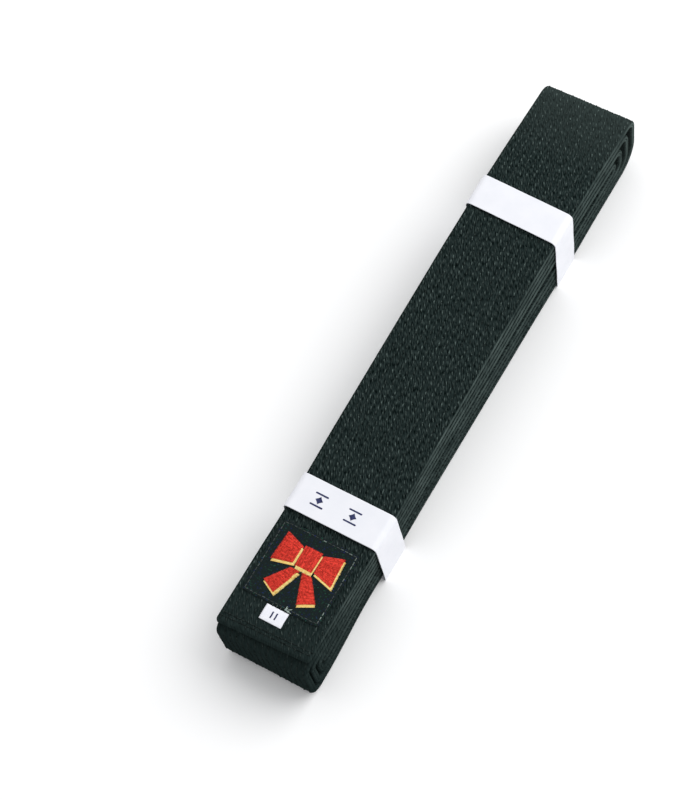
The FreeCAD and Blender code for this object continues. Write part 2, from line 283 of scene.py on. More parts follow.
def drop_straight(corners):
    """The route without the corners where it doesn't turn."""
    kept = [corners[0]]
    for corner, after in zip(corners[1:], corners[2:]):
        (u0, v0), (u1, v1), (u2, v2) = (point[:2] for point in (kept[-1], corner, after))
        if abs((u1 - u0) * (v2 - v1) - (v1 - v0) * (u2 - u1)) > 1e-6:
            kept.append(corner)
    return kept + [corners[-1]]


def wound_route():
    """The whole strap, from its label tip on top to its plain tip inside the pack."""
    corners = [corner_point(1, LABEL_TIP, height_at_label(1), 0, FULLER_AT_LABEL)]
    for upper, (lower, _, _) in FAR_FOLDS.items():
        corners += kinks(upper, True) + far_fold(upper) + kinks(lower, False)
        if lower in LABEL_FOLDS:
            corners += label_fold(lower)
    corners.append(corner_point(lower, PLAIN_TIP, height_at_label(lower), 0, FULLER_AT_LABEL))
    return Route(drop_straight(corners))


strap = wound_route()


def length_where(place, after=0.0):
    """The first length beyond `after` at which the strap passes a place along Y."""
    s = np.arange(after, strap.length, 0.25)
    u = strap.at(s)[0]
    crossed = np.nonzero(np.diff(np.sign(u - place)))[0][0]
    return float(s[crossed])


FLAP_JOINT = length_where(FLAP_JOINT_Y)
BACK_AT_LABEL = length_where(-PACK_END + HALF_BELT + 0.5, FLAP_JOINT + 300)
RUN_JOINT = length_where(RUN_JOINT_Y, BACK_AT_LABEL + 20)
LAST_FOLD = length_where(PACK_END - HALF_BELT - 3.5 * FOLD_SETBACK, strap.length - 400)


# ---- the surface of the strap


def quilting(x, s):
    """How far the stitches pull a face in: a groove at each row, deeper at each needle hole."""
    row = np.clip(np.round(x / ROW_PITCH), -LAST_ROW, LAST_ROW)
    groove = np.exp(-((x - row * ROW_PITCH) / GROOVE_WIDTH) ** 2)
    phase = ROW_PHASE[(row + LAST_ROW).astype(int)]
    hole = 0.5 + 0.5 * np.cos(2 * np.pi * (s / STITCH_PITCH + phase))
    return groove * (GROOVE_DEPTH + HOLE_DEPTH * hole)


def rounded(distance, reach):
    """Share of the full thickness at a distance in from a soft edge."""
    inward = np.clip(1 - distance / reach, 0, 1)
    return (1 - inward**EDGE_SQUARENESS) ** (1 / EDGE_SQUARENESS)


def softness(x, s, side):
    """Small unevenness of the padded faces: long waves and a finer ripple."""
    wave = np.sin(0.21 * s + 0.9 * x + side) * np.sin(0.083 * s - 0.35 * x)
    ripple = np.sin(0.47 * s + 0.2 * x + 2 * side)
    return WAVE_DEPTH * wave + RIPPLE_DEPTH * ripple


def tip_share(s):
    """The thickness thins out over the last millimetre before each tip."""
    to_tip = np.minimum(s, strap.length - s)
    return np.maximum(rounded(to_tip, TIP_ROUNDING), TIP_LEAST_SHARE)


def eased(share):
    """A share from 0 to 1 that starts and ends gently."""
    share = np.clip(share, 0, 1)
    return share * share * (3 - 2 * share)


def drift(s, y, z):
    """Sideways wander of the strap: left between the bands, right low down at the label's end."""
    free = (np.abs(np.abs(y) - BAND_PLACE) - BAND_REACH) / FREE_REACH
    at_front = np.clip((SPLAY_START - y) / SPLAY_REACH, 0, 1)
    low_down = np.clip((SPLAY_TOP - z) / SPLAY_HEIGHT, 0, 1)
    wander = 0.1 * np.sin(s / 96 + 0.4) + 0.06 * np.sin(s / 31)
    return FRONT_SPLAY * eased(at_front * low_down) - FREE_SHIFT * eased(free) + wander


def place(s, x, height):
    """Points of the strap: length along, distance across, height over its middle."""
    u, v, heading = strap.at(s)
    u = u - np.sin(heading) * height
    v = v + np.cos(heading) * height
    u = u + TIP_SKEW * x / (BELT_WIDTH / 2) * np.clip(1 - s / TIP_SKEW_REACH, 0, 1)
    over = np.where(s < TIP_SKEW_REACH, np.clip(OUTER_FOLD_CENTRE - u, 0, OUTER_FOLD_RADIUS), 0)
    droop = TIP_DROOP * (0.5 - x / BELT_WIDTH)
    v = v - droop * (OUTER_FOLD_RADIUS - np.sqrt(OUTER_FOLD_RADIUS**2 - over**2))
    return np.stack(np.broadcast_arrays(x + drift(s, u, v), u, v), axis=-1)


def face_height(x, s, side, share=1.0):
    """Signed height of a face over the strap's middle."""
    full = HALF_BELT + strap.slack(s, side)
    dip = quilting(x, s) - softness(x, s, side) * (np.abs(x) < SOFT_HALF_WIDTH)
    return side * share * tip_share(s) * (full - dip)


def strap_section():
    """One closed section, from the groove of its left edge: x, share of the thickness and side."""
    reach = BELT_WIDTH / 2 - EDGE_REACH
    steps = np.array([0.0, 0.4, 1.0, 2.0, 2.6])
    rows = np.arange(ROWS - 1) * ROW_PITCH - LAST_ROW * ROW_PITCH
    across = np.append((rows[:, None] + steps).ravel(), LAST_ROW * ROW_PITCH)
    face_share = rounded(BELT_WIDTH / 2 - np.abs(across), EDGE_REACH)
    angles = np.radians([66, 50, 34, 20])
    edge_x = reach + EDGE_REACH * np.cos(angles) ** (2 / EDGE_SQUARENESS)
    edge_share = rounded(BELT_WIDTH / 2 - edge_x, EDGE_REACH)
    # each edge has a groove between two lips along its middle, where the cover meets itself
    lip_inset, lip_share = 0.08, 0.14
    edge_x = np.append(edge_x, BELT_WIDTH / 2 - lip_inset)
    edge_share = np.append(edge_share, lip_share)
    groove = BELT_WIDTH / 2 - EDGE_GROOVE
    upper_x = np.concatenate([-edge_x[::-1], across, edge_x])
    upper_share = np.concatenate([edge_share[::-1], face_share, edge_share])
    x = np.concatenate([[-groove], upper_x, [groove], upper_x[::-1]])
    share = np.concatenate([[0], upper_share, [0], upper_share[::-1]])
    side = np.concatenate([[1], np.ones(len(upper_x)), [-1], -np.ones(len(upper_x))])
    return x, share, side


# ---- mesh makers


def add_to_scene(name, data):
    made = bpy.data.objects.new(name, data)
    bpy.context.scene.collection.objects.link(made)
    return made


def make_object(name, points, faces, uv=None, tone=None):
    """A smooth mesh object from points in millimetres."""
    mesh = bpy.data.meshes.new(name)
    flat_points = np.asarray(points, float).reshape(-1, 3) / 1000
    mesh.from_pydata(flat_points.tolist(), [], faces)
    mesh.shade_smooth()
    corner_vertices = np.zeros(len(mesh.loops), int)
    mesh.loops.foreach_get("vertex_index", corner_vertices)
    if uv is not None:
        layer = mesh.uv_layers.new(name="cloth")
        layer.data.foreach_set("uv", np.asarray(uv, float).reshape(-1, 2)[corner_vertices].ravel())
    if tone is not None:
        attribute = mesh.attributes.new("tone", "FLOAT", "POINT")
        attribute.data.foreach_set("value", np.asarray(tone, float).ravel())
    mesh.validate()
    return add_to_scene(name, mesh)


def grid_faces(rows, columns):
    """Faces of a grid of rows x columns cells, whose points run row by row."""
    corners = [i * (columns + 1) + j for i in range(rows) for j in range(columns)]
    return [[a, a + columns + 1, a + columns + 2, a + 1] for a in corners]


def moved(faces, start, way=1):
    """Faces over points whose numbers begin at start; way -1 turns them over."""
    return [[number + start for number in face[::way]] for face in faces]


def side_faces(rings, points):
    """Faces round a tube of rings, open at both ends."""
    ring = np.arange(rings - 1)[:, None] * points
    point = np.arange(points)
    onward = (point + 1) % points
    corners = [ring + point, ring + onward, ring + points + onward, ring + points + point]
    return np.stack(corners, axis=-1).reshape(-1, 4).tolist()


def flat_ends(rings, points):
    """One face across each end of a tube of rings."""
    ring = list(range(points))
    return [ring[::-1]] + moved([ring], (rings - 1) * points)


def ring_faces(rings, points, lone=0):
    """Faces of a tube of rings that is closed by folding both end rings flat.

    With lone = 1 the fold runs through the ring's first point.
    """
    end = []
    for i in range(points // 2 - 1 + lone):
        quad = [i, i + 1, points - 2 - i + lone, (points - 1 - i + lone) % points]
        end.append(list(dict.fromkeys(quad)))
    return side_faces(rings, points) + moved(end, 0, -1) + moved(end, (rings - 1) * points)


def strap_mesh(name, first, last, step):
    """The padded strap between two lengths."""
    bend_step = STITCH_PITCH / 4
    s = strap.stations(first, last, step, bend_step)
    tip_steps = np.array([0.0, 0.08, 0.22, 0.5, 0.9])
    tip_reach = 1.2
    if first == 0:
        s = np.concatenate([tip_steps, s[s > tip_reach]])
    if last == strap.length:
        s = np.concatenate([s[s < last - tip_reach], last - tip_steps[::-1]])
    x, share, side = strap_section()
    grid_s, grid_x = np.meshgrid(s, x, indexing="ij")
    height = face_height(grid_x, grid_s, side[None, :], share[None, :])
    to_tip = np.minimum(grid_s, strap.length - grid_s)
    corner = TIP_CORNER * np.clip(1 - to_tip / TIP_CORNER_REACH, 0, 1) ** 2
    points = place(grid_s, grid_x * (1 - corner / (BELT_WIDTH / 2)), height)
    uv = np.stack([grid_x, grid_s], axis=-1)
    return make_object(name, points, ring_faces(len(s), len(x), lone=1), uv)


def stitch_mesh(name, s, x, side, slant, length=2.2, width=0.58, lift=0.2, shine=1.0):
    """Single stitches that lie on a face of the strap, at an angle to its length.

    Their ends dip towards the needle holes, where they are in shadow; that shadow is painted into
    their tone.
    """
    count = len(s)
    # from end to end: (how far along, rise, share of the width, share of the tone left by the
    # painted shadow at the ends)
    profile = np.array([
        (-1.25, -0.15, 0.8, 0.0),
        (-0.8, 0.5, 0.95, 0.55),
        (0.0, 1.0, 1.0, 1.0),
        (0.8, 0.5, 0.95, 0.55),
        (1.25, -0.15, 0.8, 0.0),
    ])
    t, rise, taper, painted_light_share = profile.T[:, None, :, None]
    around = np.radians([-25, 38, 90, 142, 205])
    angle = np.radians(slant) + rng.normal(0, math.radians(6), count)
    reach = length / 2 * rng.uniform(0.8, 1.12, count)
    angle, reach, s, x = (values[:, None, None] for values in (angle, reach, s, x))
    along = reach * t
    out = width / 2 * np.cos(around) * taper
    from_tip, thickness, sunk = 0.4, 0.16, 0.04
    stitch_s = s + along * np.cos(angle) - out * np.sin(angle)
    stitch_s = np.clip(stitch_s, from_tip, strap.length - from_tip)
    stitch_x = x + along * np.sin(angle) + out * np.cos(angle)
    height = lift * rise + thickness * np.sin(around) * taper
    seat = np.abs(face_height(x, stitch_s, side)) - sunk
    points = place(stitch_s, stitch_x, side * (seat + height))
    rings, sides = len(profile), len(around)
    own = side_faces(rings, sides) + flat_ends(rings, sides)
    faces = []
    for index in range(count):
        faces += moved(own, index * rings * sides, side)
    turn = np.broadcast_to(np.arange(sides) * 0.4, points.shape[:3])
    uv = np.stack([turn, np.broadcast_to(along, points.shape[:3])], axis=-1)
    # the front of the pack is turned away from the light, so its stitches are painted in shade
    lit = shine * np.clip((points[..., 1] - STITCH_SHADE_PLACE) / STITCH_SHADE_REACH, STITCH_SHADE_SHARE, 1)
    own_tone = rng.uniform(0.3, 1.0, count)[:, None, None]
    return make_object(name, points, faces, uv, lit * own_tone * painted_light_share + STITCH_SHADE_TONE * (1 - lit))


def stitch_rows(first, last):
    """Middles (s, x) of the stitches of every row between two lengths."""
    all_s, all_x = [], []
    for row in range(ROWS):
        x = (row - LAST_ROW) * ROW_PITCH
        offset = (0.5 - ROW_PHASE[row]) * STITCH_PITCH
        first_number = math.ceil((first - offset) / STITCH_PITCH)
        number = np.arange(first_number, (last - offset) / STITCH_PITCH)
        all_s.append(number * STITCH_PITCH + offset + rng.normal(0, STRAY_ALONG, len(number)))
        all_x.append(x + rng.normal(0, STRAY_ACROSS, len(number)))
    return np.concatenate(all_s), np.concatenate(all_x)


# ---- materials


def feed(tree, socket, value):
    """Links a socket to another one, or sets its value."""
    if isinstance(value, bpy.types.NodeSocket):
        tree.links.new(value, socket)
    else:
        socket.default_value = value


def add_node(tree, kind, output, inputs=(), **settings):
    """One output of a new shader node; each of its inputs is linked or given a value."""
    node = tree.nodes.new("ShaderNode" + kind)
    for name, value in settings.items():
        setattr(node, name, value)
    for name, value in dict(inputs).items():
        feed(tree, node.inputs[name], value)
    return node.outputs[output]


class Paint:
    """A procedural material on one Principled shader."""

    def __init__(self, name, roughness, specular, sheen=0.0):
        self.material = bpy.data.materials.new(name)
        self.material.use_nodes = True
        self.tree = self.material.node_tree
        self.shader = self.tree.nodes["Principled BSDF"]
        self.set("Roughness", roughness)
        self.set("Specular IOR Level", specular)
        self.set("Sheen Weight", sheen)

    def set(self, socket, value):
        """Sets or links one socket of the shader."""
        feed(self.tree, self.shader.inputs[socket], value)

    def node(self, kind, output, inputs=(), **settings):
        return add_node(self.tree, kind, output, inputs, **settings)

    def stretched(self, vector, factors):
        """A vector times a factor along each axis."""
        return self.node("VectorMath", "Vector", {0: vector, 1: factors}, operation="MULTIPLY")

    def cloth(self, across=1.0, along=1.0, turn=0.0):
        """The piece's own cloth coordinates, in millimetres, stretched and turned by degrees."""
        uv = self.node("UVMap", "UV", uv_map="cloth")
        inputs = {"Vector": uv, "Scale": (across, along, 1), "Rotation": (0, 0, math.radians(turn))}
        return self.node("Mapping", "Vector", inputs)

    def world(self):
        """Coordinates in the object's own space, in millimetres."""
        return self.stretched(self.node("TexCoord", "Object"), (1000, 1000, 1000))

    def axis(self, vector, name):
        return self.node("SeparateXYZ", name, {"Vector": vector})

    def noise(self, vector, size, detail):
        """Noise with features about `size` millimetres wide."""
        return self.node("TexNoise", "Fac", {"Vector": vector, "Scale": 1 / size, "Detail": detail})

    def ribs(self, vector, period, direction="X", distortion=0.0):
        """Round ribs a period apart, in millimetres."""
        inputs = {"Vector": vector, "Scale": math.tau / 20 / period, "Distortion": distortion}
        return self.node("TexWave", "Fac", inputs, wave_type="BANDS", bands_direction=direction)

    def between(self, value, low, high):
        """A value's share of the way from low to high."""
        return self.node("MapRange", "Result", {"Value": value, "From Min": low, "From Max": high})

    def times(self, a, b):
        return self.node("Math", "Value", {0: a, 1: b}, operation="MULTIPLY")

    def mix(self, share, *colours):
        """Mix of two colours."""
        a, b = ((*value, 1) if isinstance(value, tuple) else value for value in colours)
        return self.node("Mix", 2, {0: share, 6: a, 7: b}, data_type="RGBA")

    def tone(self):
        """Each stitch's tone: its own, with the painted light and shade that its mesh gives it."""
        return self.node("Attribute", "Fac", attribute_name="tone")

    def bump(self, height, depth):
        """Adds relief, its depth in millimetres."""
        inputs = {"Height": height, "Distance": depth / 1000, "Strength": 1.0}
        normal = self.shader.inputs["Normal"]
        if normal.is_linked:
            inputs["Normal"] = normal.links[0].from_socket
        self.set("Normal", self.node("Bump", "Normal", inputs))


def belt_cloth():
    """Black cotton satin: fine diagonal weave, lighter along its edges, partly from wear and partly
    painted light, and painted lighter at the fold away from the label.
    """
    paint = Paint("belt_satin", roughness=0.8, specular=0.0)
    cloth = paint.cloth()
    place_y, place_z = (paint.axis(paint.world(), name) for name in "YZ")
    slanted = paint.cloth(turn=-30)
    twill = paint.ribs(slanted, 0.9, distortion=1.2)
    yarns = paint.ribs(cloth, 0.34, "Y", distortion=1.0)
    patches = paint.noise(cloth, 2.2, 3.0)
    # turned first and stretched after, so that the streaks are slanted too
    streaks = paint.noise(paint.stretched(slanted, (1, 0.17, 1)), 0.42, 1.0)
    # the streaks are fainter towards the end that lies on top
    used = paint.between(place_y, -175.0, -100.0)
    dark = paint.times(paint.between(streaks, 0.49, 0.36), used)
    light = paint.times(paint.between(streaks, 0.53, 0.69), used)
    # the fold away from the label is painted lighter, where the light from behind the pack falls on
    # it
    fold_painted_light = paint.times(paint.between(place_y, 108.0, 150.0), 0.4)
    shade = paint.mix(
        paint.between(patches, 0.3, 0.75), (0.0125, 0.0205, 0.0198), (0.0175, 0.0275, 0.0265),
    )
    for share, colour in (
        (dark, (0.0015, 0.004, 0.0037)),
        (light, (0.038, 0.054, 0.051)),
        (paint.times(twill, 0.35), (0.006, 0.0105, 0.01)),
        (fold_painted_light, (0.042, 0.056, 0.052)),
    ):
        shade = paint.mix(share, shade, colour)
    # the edges are lighter in patches, partly worn and partly painted light: most at the top, and
    # fading out lower down and towards the label's end, which are painted as in shade
    across = paint.axis(cloth, "X")
    from_middle = paint.node("Math", "Value", {0: across}, operation="ABSOLUTE")
    edge_wear_and_light = paint.between(from_middle, BELT_WIDTH / 2 - 0.32, BELT_WIDTH / 2 - 0.1)
    for share in (
        paint.between(paint.noise(paint.cloth(1, 0.05), 0.5, 3.0), 0.1, 0.7),
        paint.between(paint.noise(paint.cloth(1, 0.02), 0.7, 1.0), 0.15, 0.6),
        paint.between(place_z, -12.0, 24.0),
        paint.between(place_y, -150.0, -100.0),
    ):
        edge_wear_and_light = paint.times(edge_wear_and_light, share)
    paint.set("Base Color", paint.mix(edge_wear_and_light, shade, (0.088, 0.116, 0.109)))
    paint.bump(twill, 0.05)
    paint.bump(yarns, 0.03)
    paint.bump(streaks, 0.12)
    return paint.material


def sewing_thread(name, dark, light, specular=0.1, sheen=0.0):
    """Twisted thread whose stitches differ in tone, partly painted light, with painted shade
    between its plies.
    """
    paint = Paint(name, 0.5, specular, sheen)
    plies = paint.ribs(paint.cloth(turn=38), 0.5)
    fluff = paint.noise(paint.world(), 0.8, 1.0)
    base = paint.mix(paint.times(paint.tone(), paint.between(fluff, 0.2, 0.6)), dark, light)
    # the grooves between the plies are painted darker, as shade
    ply_groove_shade = paint.times(paint.between(plies, 0.5, 0), 0.5)
    paint.set("Base Color", paint.mix(ply_groove_shade, base, dark))
    paint.bump(plies, 0.06)
    return paint.material


def label_cloth():
    """Black label ground, closely filled with stitches, with specks of dark blue and green."""
    paint = Paint("label_weave", roughness=0.75, specular=0.06, sheen=0.01)
    rows = paint.ribs(paint.cloth(), 0.5, "Y", distortion=0.4)
    dashes = paint.ribs(paint.cloth(turn=12), 1.3, distortion=3.0)
    specks = paint.noise(paint.cloth(0.7, 1.6), 0.75, 1.0)
    hue = paint.noise(paint.cloth(), 2.5, 0.0)
    blue, green = (0.014, 0.022, 0.11), (0.018, 0.09, 0.05)
    speck_colour = paint.mix(paint.between(hue, 0.45, 0.55), blue, green)
    ground = paint.mix(paint.times(rows, 0.5), (0.006, 0.0105, 0.0105), (0.018, 0.03, 0.029))
    paint.set("Base Color", paint.mix(paint.between(specks, 0.6, 0.72), ground, speck_colour))
    paint.bump(rows, 0.12)
    paint.bump(dashes, 0.06)
    return paint.material


def ribbon_cloth():
    """White woven ribbon with fine ribs across it."""
    paint = Paint("tag_ribbon", roughness=0.5, specular=0.35, sheen=0.1)
    ribs = paint.ribs(paint.cloth(), 0.32, "Y", distortion=0.3)
    soil = paint.noise(paint.cloth(), 3.0, 3.0)
    white = paint.mix(paint.between(soil, 0.3, 0.8), (0.78, 0.79, 0.85), (0.86, 0.87, 0.9))
    paint.set("Base Color", paint.mix(paint.times(ribs, 0.12), white, (0.6, 0.62, 0.7)))
    paint.bump(ribs, 0.03)
    return paint.material


def band_paper():
    """Smooth white paper with a faint fibre."""
    paint = Paint("band_paper", roughness=0.55, specular=0.35)
    fibres = paint.noise(paint.cloth(1.0, 0.25), 0.5, 5.0)
    clouds = paint.noise(paint.cloth(), 9.0, 2.0)
    grey, white = (0.745, 0.755, 0.8), (0.785, 0.79, 0.83)
    paint.set("Base Color", paint.mix(paint.between(clouds, 0.3, 0.7), grey, white))
    paint.set("Roughness", paint.between(fibres, -0.6, 1.6))
    paint.bump(fibres, 0.015)
    return paint.material


def mottled(name, roughness, specular, size, spread, dark, light, relief):
    """Spots of two colours with a slight relief, mixed over a spread of the noise behind them."""
    paint = Paint(name, roughness, specular)
    spots = paint.noise(paint.world(), size, 3.0)
    paint.set("Base Color", paint.mix(paint.between(spots, *spread), dark, light))
    paint.bump(spots, relief)
    return paint.material


def printed_ink():
    """Dark blue ink, thinner in places."""
    full, faint = (0.008, 0.012, 0.06), (0.04, 0.055, 0.18)
    return mottled("blue_ink", 0.5, 0.3, 0.5, (0.45, 0.8), full, faint, 0.01)


def dried_glue():
    """Pale dried paste."""
    thick, thin = (0.78, 0.72, 0.55), (0.9, 0.87, 0.78)
    return mottled("dried_glue", 0.35, 0.5, 1.2, (0, 1), thick, thin, 0.05)


MATERIALS = {
    "belt_fabric": belt_cloth(),
    "belt_thread": sewing_thread(
        "belt_thread", (0.003, 0.005, 0.0048), (0.13, 0.175, 0.165), specular=0.0,
    ),
    "label_weave": label_cloth(),
    "border_thread": sewing_thread(
        "border_thread", (0.01, 0.017, 0.016), (0.5, 0.62, 0.56), specular=0.3, sheen=0.15,
    ),
    "red_thread": sewing_thread("red_thread", (0.26, 0.009, 0.004), (1.0, 0.075, 0.05)),
    "yellow_thread": sewing_thread("yellow_thread", (0.75, 0.44, 0.07), (1.0, 0.88, 0.42)),
    "tag_ribbon": ribbon_cloth(),
    "blue_ink": printed_ink(),
    "band_paper": band_paper(),
    "glue": dried_glue(),
}


def finish_piece(piece, slot, *nodes):
    """Gives a piece its material and hides the CAD nodes that it stands for."""
    piece.data.materials.append(MATERIALS[slot])
    if nodes:
        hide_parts(*nodes)
    return piece


# ---- the strap


def bends_at_label(piece):
    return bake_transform(piece)


def make_strap():
    """The strap in three lengths: the end at the label, the outer run and the runs inside."""
    cores = ("core_ply_inner", "core_ply_middle", "core_ply_outer")
    flap = strap_mesh("label_end_strap", 0.0, FLAP_JOINT, STITCH_PITCH / 2)
    finish_piece(flap, "belt_fabric", "label_end_cover", *("label_end_" + core for core in cores))
    bends_at_label(flap)
    outer = strap_mesh("belt_outer_run", FLAP_JOINT, RUN_JOINT, STITCH_PITCH / 2)
    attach(finish_piece(outer, "belt_fabric", "belt_cover"), "folded_belt")
    inner = strap_mesh("belt_inner_runs", RUN_JOINT, strap.length, STITCH_PITCH)
    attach(finish_piece(inner, "belt_fabric", *cores), "folded_belt")


def make_stitches():
    """The rows of stitches on every face that can be seen."""
    slant = -24
    fold_reach = 70.0
    s, x = stitch_rows(FLAP_JOINT, RUN_JOINT)
    needle = stitch_mesh("needle_stitches", s, x, 1, slant)
    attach(finish_piece(needle, "belt_thread", "needle_thread_rows"), "folded_belt")
    s, x = stitch_rows(LAST_FOLD - fold_reach, LAST_FOLD + fold_reach)
    bobbin = stitch_mesh("bobbin_stitches", s, x, -1, slant)
    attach(finish_piece(bobbin, "belt_thread", "bobbin_thread_rows"), "folded_belt")
    for side, name in ((1, "needle"), (-1, "bobbin")):
        s, x = stitch_rows(1.5, FLAP_JOINT)
        piece = stitch_mesh("label_end_%s_stitches" % name, s, x, side, slant, shine=0.8)
        finish_piece(piece, "belt_thread", "label_end_%s_thread_rows" % name)
        bends_at_label(piece)


def make_tip_seams():
    """Two closing rows across each tip, on the face that looks up."""
    seams = (
        ("label_end_seam", "label_end_tip_seam", "label_end", 0.0, 1),
        ("plain_end_seam", "plain_end_tip_seam", "folded_belt", strap.length, -1),
    )
    for name, node, body, tip, side in seams:
        across = np.arange(-20.5, 20.6, 2.05)
        s = np.repeat([tip + side * inset for inset in (3.0, 4.6)], len(across))
        x = np.concatenate([across, across + 1.0])
        piece = stitch_mesh(name, s, x, side, 90, length=1.9, width=0.55, lift=0.24, shine=0.4)
        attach(finish_piece(piece, "belt_thread", node), body)


make_strap()
make_stitches()
make_tip_seams()

# ---- the label

LABEL_TOP = label_high[2]
LABEL_CENTRE = (label_low + label_high) / 2
LABEL_SIZE = label_high - label_low


def label_surface(x, y):
    """Height of the label's upper face: its edges are drawn down to the strap."""
    edge_reach, edge_drop = 1.3, 0.24
    to_edge = np.minimum(
        LABEL_SIZE[0] / 2 - np.abs(x - LABEL_CENTRE[0]),
        LABEL_SIZE[1] / 2 - np.abs(y - LABEL_CENTRE[1]),
    )
    crown = rounded(np.maximum(to_edge, 0), edge_reach)
    wave = 0.03 * np.sin(0.55 * x + 1) * np.sin(0.47 * y)
    return LABEL_TOP - edge_drop * (1 - crown) + wave * crown


def label_mesh():
    """The ground of the label: a thin plate with soft corners and a flat underside."""
    cells, corner = (64, 62), 0.5
    # more lines near the edges, where the cloth turns down
    even = (np.linspace(-1, 1, count + 1) for count in cells)
    u, v = (np.sign(line) * np.abs(line) ** 0.7 for line in even)
    grid_u, grid_v = np.meshgrid(u, v, indexing="ij")
    pull = corner * (np.abs(grid_u) * np.abs(grid_v)) ** 12
    x = LABEL_CENTRE[0] + grid_u * (LABEL_SIZE[0] / 2 - pull)
    y = LABEL_CENTRE[1] + grid_v * (LABEL_SIZE[1] / 2 - pull)
    top = np.stack([x, y, label_surface(x, y)], axis=-1).reshape(-1, 3)
    bottom = np.stack([x, y, np.full_like(x, label_low[2])], axis=-1).reshape(-1, 3)
    count = len(top)
    faces = grid_faces(*cells)
    faces += moved(faces, count, -1)
    grid = np.arange(count).reshape(x.shape)
    border = np.concatenate([grid[:-1, 0], grid[-1, :-1], grid[:0:-1, -1], grid[0, :0:-1]]).tolist()
    faces += [[b, a, a + count, b + count] for a, b in zip(border, border[1:] + border[:1])]
    uv = np.concatenate([top[:, :2], bottom[:, :2]])
    return make_object("label_cloth", np.concatenate([top, bottom]), faces, uv)


def line_headings(line):
    """The unit heading of a line at each of its points."""
    ahead = np.gradient(line, axis=0)
    return ahead / np.linalg.norm(ahead, axis=1)[:, None]


def strand_mesh(name, strands, thickness):
    """Threads along lists of points, all in one mesh; each strand is (points, tone)."""
    sides = 5
    points, faces, uv, tones = [], [], [], []
    angles = np.linspace(0, math.tau, sides, endpoint=False)
    start = 0
    for line, tone in strands:
        ahead = line_headings(line)
        across = np.cross(ahead, [0, 0, 1])
        across /= np.maximum(np.linalg.norm(across, axis=1), 1e-6)[:, None]
        over = np.cross(across, ahead)
        # each end tapers to half the thickness
        share = np.ones(len(line))
        share[[0, -1]] = 0.5
        spokes = (
            across[:, None] * np.cos(angles)[:, None] * thickness[0] / 2
            + over[:, None] * np.sin(angles)[:, None] * thickness[1] / 2
        ) * share[:, None, None]
        points.append((line[:, None] + spokes).reshape(-1, 3))
        faces += moved(side_faces(len(line), sides), start, -1)
        faces += moved(flat_ends(len(line), sides), start)
        turn, travel = np.meshgrid(np.arange(sides) * 0.35, line_lengths(line))
        uv.append(np.stack([turn, travel], axis=-1).reshape(-1, 2))
        tones.append(np.full(len(line) * sides, tone))
        start += len(line) * sides
    tones = np.concatenate(tones)
    return make_object(name, np.concatenate(points), faces, np.concatenate(uv), tones)


# the emblem is a plain tied knot; each field's threads run from its near rail to its far
# rail, and its corners are both ends of the near rail and both ends of the far one
WING = [(5.0, 1.0), (5.0, 9.4), (15.0, -1.6), (14.2, 12.6)]
TAIL = [(0.6, -1.2), (5.6, -14.8), (5.2, -1.2), (12.8, -11.0)]
KNOT = [(-4.0, 0.2), (4.0, 0.2), (-4.3, 10.4), (4.3, 10.4)]
LEFT_WING, LEFT_TAIL = ([(-u, v) for u, v in field] for field in (WING, TAIL))
FIELDS = (WING, TAIL, LEFT_WING, LEFT_TAIL, KNOT)
EMBLEM_LIFT = 1.2


def emblem_strands(right, down, height, pitch):
    """Parallel fill threads of every field, moved right and down."""
    centre = LABEL_CENTRE[:2] + np.array([right, EMBLEM_LIFT - down])
    stitch_run, uneven = 3.6, 0.22
    strands = []
    for field in FIELDS:
        near_start, near_end, far_start, far_end = np.array(field)
        rail = max(np.linalg.norm(near_end - near_start), np.linalg.norm(far_end - far_start))
        count = max(3, round(rail / pitch))
        for index in range(count):
            share = (index + 0.5) / count
            start = near_start + (near_end - near_start) * share
            end = far_start + (far_end - far_start) * share
            run = np.linalg.norm(end - start)
            ahead = (end - start) / run
            start = start - ahead * rng.uniform(0, uneven)
            end = end + ahead * rng.uniform(0, uneven)
            stitches = max(1, round(run / stitch_run))
            t = np.linspace(0, 1, 5 * stitches + 1)
            line = centre + start + (end - start) * t[:, None]
            phase = (index % 3) / 3
            dip = np.abs(np.sin(math.pi * (t * stitches + phase))) if stitches > 1 else 1
            crown = rounded(np.minimum(t, 1 - t) * run, 1.0)
            rise = height * crown * (0.72 + 0.28 * np.minimum(dip * 2, 1)) - 0.03
            z = label_surface(line[:, 0], line[:, 1]) + rise
            strands.append((np.column_stack([line, z]), 0.45 + 0.55 * rng.random()))
    return strands


def border_strands():
    """Running stitches just inside the label's edge; only some catch the light, which is painted
    into their tone.
    """
    inset, pitch, run = 1.15, 2.1, 1.6
    half = LABEL_SIZE[:2] / 2 - inset
    corners = half * np.array([(-1, -1), (1, -1), (1, 1), (-1, 1)])
    strands = []
    for start, end in zip(corners, np.roll(corners, -1, axis=0)):
        length = np.linalg.norm(end - start)
        ahead = (end - start) / length
        count = int(length / pitch)
        for number in range(count):
            middle = start + ahead * (number + 0.5) * length / count
            middle = middle + rng.normal(0, 0.06, 2)
            t = np.linspace(-0.5, 0.5, 6)
            line = LABEL_CENTRE[:2] + middle + ahead * run * t[:, None]
            z = label_surface(line[:, 0], line[:, 1]) + 0.14 * (1 - (2 * t) ** 4) - 0.06
            # the stitches along the right edge and the right half of the far edge are painted
            # lighter, where they catch the light
            shining = 0.7 if ahead[1] > 0.5 or (ahead[0] < -0.5 and middle[0] > 0) else 0.15
            strands.append((np.column_stack([line, z]), shining * rng.random() ** 2.5))
    return strands


